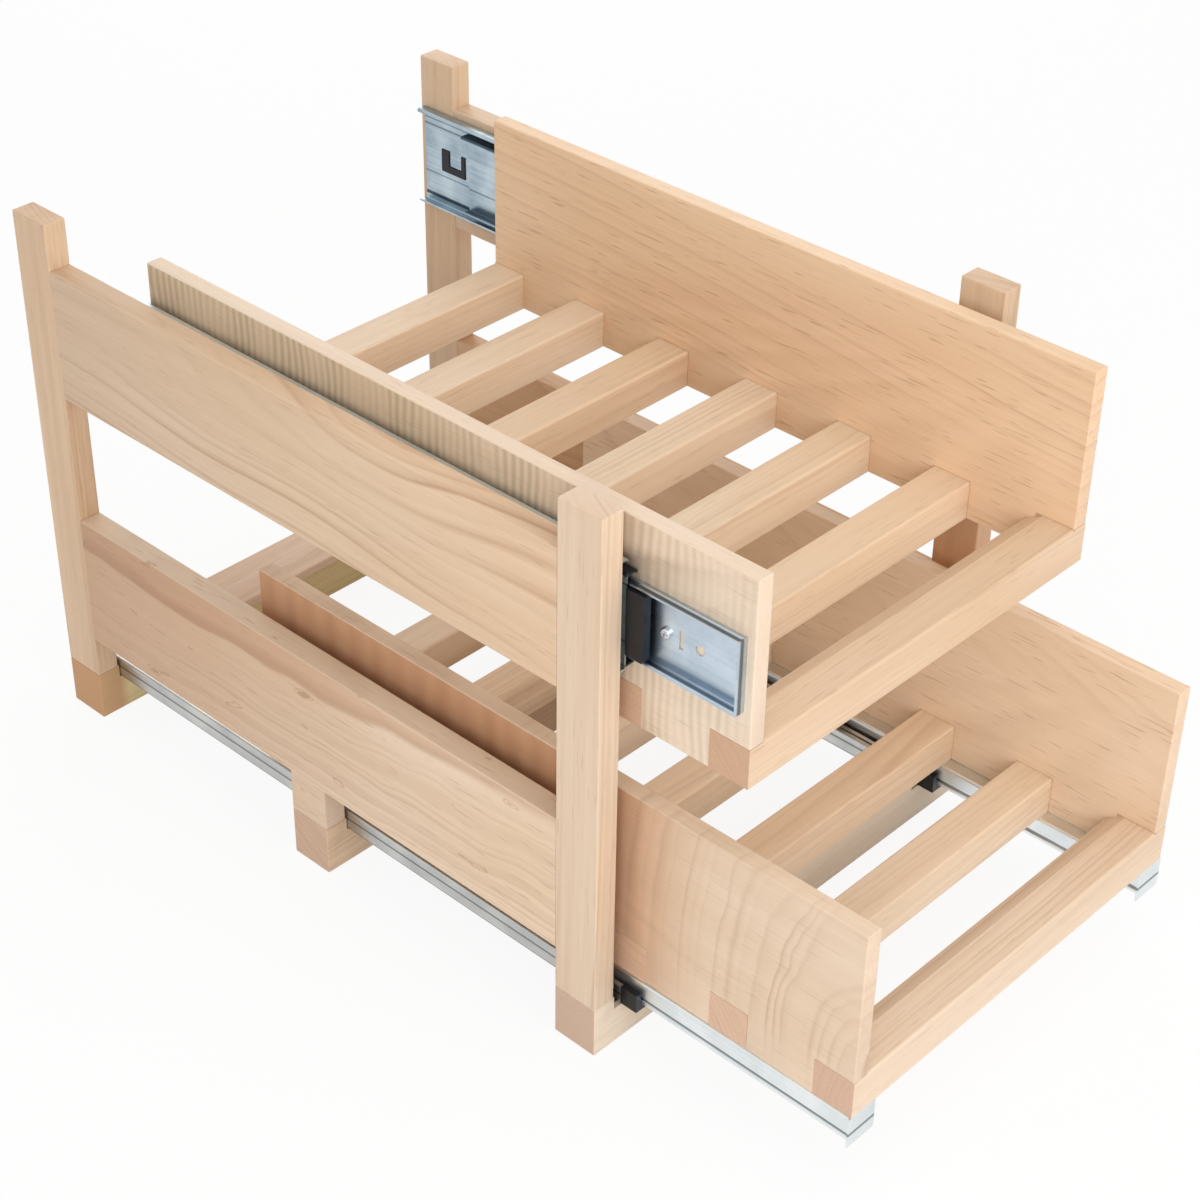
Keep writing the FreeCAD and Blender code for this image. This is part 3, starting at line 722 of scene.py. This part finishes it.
def sand(obj):
    """Make a board's flat faces whole, then round its edges a little."""
    weld = obj.modifiers.new("weld", "WELD")
    weld.merge_threshold = WELD_REACH
    flatten = obj.modifiers.new("flatten", "DECIMATE")
    flatten.decimate_type = "DISSOLVE"
    flatten.angle_limit = math.radians(FLAT_ANGLE)
    round_over = obj.modifiers.new("round", "BEVEL")
    round_over.width = EDGE_ROUND
    round_over.segments = ROUND_SEGMENTS
    round_over.limit_method = "ANGLE"
    round_over.angle_limit = math.radians(ROUND_ANGLE)
    round_over.use_clamp_overlap = False
    round_over.harden_normals = True


def soften_edges():
    """Smooth shading, sanded edges on the boards and hard edges on the rest.

    The slats aren't sanded here, because their solids have rounds.
    """
    for name, obj in nodes.items():
        obj.data.shade_smooth()
        if name in CUTS:
            sand(obj)
        else:
            split = obj.modifiers.new("edges", "EDGE_SPLIT")
            split.split_angle = math.radians(SHARP_ANGLE)


def floor():
    """A pale floor that fades into the white background but keeps the shadow."""
    half = FLOOR_SIZE / 2
    z = cad_bounds[0][2] - FLOOR_GAP
    corners = [(-half, -half, z), (half, -half, z), (half, half, z), (-half, half, z)]
    mesh = bpy.data.meshes.new("floor")
    mesh.from_pydata(corners, [], [(0, 1, 2, 3)])
    obj = bpy.data.objects.new("floor", mesh)
    bpy.context.scene.collection.objects.link(obj)
    g = Graph(bpy.data.materials.new("floor_white"))
    diffuse = g.add("BsdfDiffuse")
    diffuse.inputs["Color"].default_value = FLOOR_TONE
    glow = g.add("Emission")
    g.show(g.blend(g.times(g.seen(), FLOOR_GLOW), diffuse.outputs[0], glow.outputs[0]))
    mesh.materials.append(g.owner)


def world():
    """Even light from all round, seen as white by the camera and in reflections."""
    shell = bpy.data.worlds.new("studio")
    bpy.context.scene.world = shell
    g = Graph(shell)
    lit = g.add("Background")
    lit.inputs["Color"].default_value = WORLD_TINT
    lit.inputs["Strength"].default_value = WORLD_STRENGTH
    white = g.add("Background")
    white.inputs["Color"].default_value = WHITE
    g.show(g.blend(g.seen(), lit.outputs[0], white.outputs[0]), "OutputWorld")


def lamp(name, place, size, power, tint):
    """A square soft light that points at the rack."""
    light = bpy.data.lights.new(name, "AREA")
    light.shape = "SQUARE"
    light.size = size
    light.energy = power
    light.color = tint
    obj = bpy.data.objects.new(name, light)
    bpy.context.scene.collection.objects.link(obj)
    obj.location = place
    obj.rotation_mode = "QUATERNION"
    obj.rotation_quaternion = (CAMERA_AIM - Vector(place)).to_track_quat("-Z", "Y")


def camera():
    """The photograph's view."""
    data = bpy.data.cameras.new("camera")
    data.lens = CAMERA_LENS
    data.sensor_width = CAMERA_SENSOR
    data.clip_end = CAMERA_SIGHT
    obj = bpy.data.objects.new("camera", data)
    bpy.context.scene.collection.objects.link(obj)
    obj.location = CAMERA_PLACE
    turn = (CAMERA_AIM - CAMERA_PLACE).to_track_quat("-Z", "Y").to_matrix()
    obj.rotation_euler = (turn @ Matrix.Rotation(math.radians(CAMERA_ROLL), 3, "Z")).to_euler()
    bpy.context.scene.camera = obj


camera()
world()
floor()
for lamp_name, lamp_settings in LAMPS.items():
    lamp(lamp_name, *lamp_settings)
dress_wood()
dress_metal()
soften_edges()

bpy.context.scene.view_settings.view_transform = "Standard"
